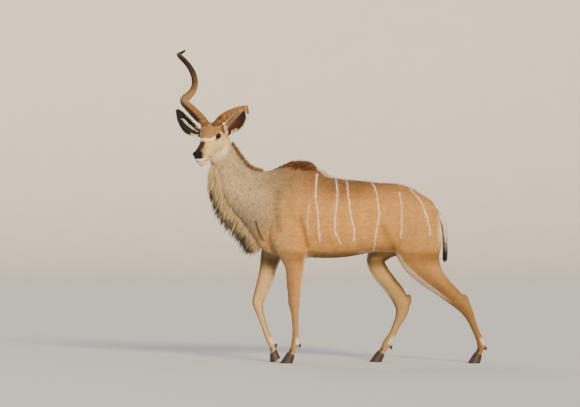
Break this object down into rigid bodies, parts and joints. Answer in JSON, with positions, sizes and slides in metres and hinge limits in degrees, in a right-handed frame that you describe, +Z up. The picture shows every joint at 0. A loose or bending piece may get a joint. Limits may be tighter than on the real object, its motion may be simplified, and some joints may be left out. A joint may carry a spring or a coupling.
{
  "type": "greater kudu bull model",
  "caption": "Life-size greater kudu bull in mid stride, head turned to its left, one spiral horn whole and one broken short.",
  "frame": {"origin": "middle of the box on the ground under the animal", "axes": "+Z up, the animal faces -X, its left side faces -Y"},
  "size_m": [2.1642, 0.9069, 2.2058],
  "materials": {
    "coat": "short sandy hair with thin white stripes, standing in for living hide",
    "ear": "short hair",
    "tail": "hair, white below, dark at the tip",
    "horn": "ringed horn keratin",
    "hoof": "dark hoof keratin",
    "eye": "wet dark eye"
  },
  "bodies": {
    "root": {"head": "coat", "neck": "coat", "torso": "coat", "tail": "tail", "leg_fore_left": "coat", "leg_fore_right": "coat", "leg_hind_left": "coat", "leg_hind_right": "coat", "ear_left": "ear", "ear_right": "ear", "eye_left": "eye", "eye_right": "eye", "horn_left": "horn", "horn_right": "horn", "hoof_fore_left": "hoof", "hoof_fore_right": "hoof", "hoof_hind_left": "hoof", "hoof_hind_right": "hoof"}
  },
  "joints": []
}
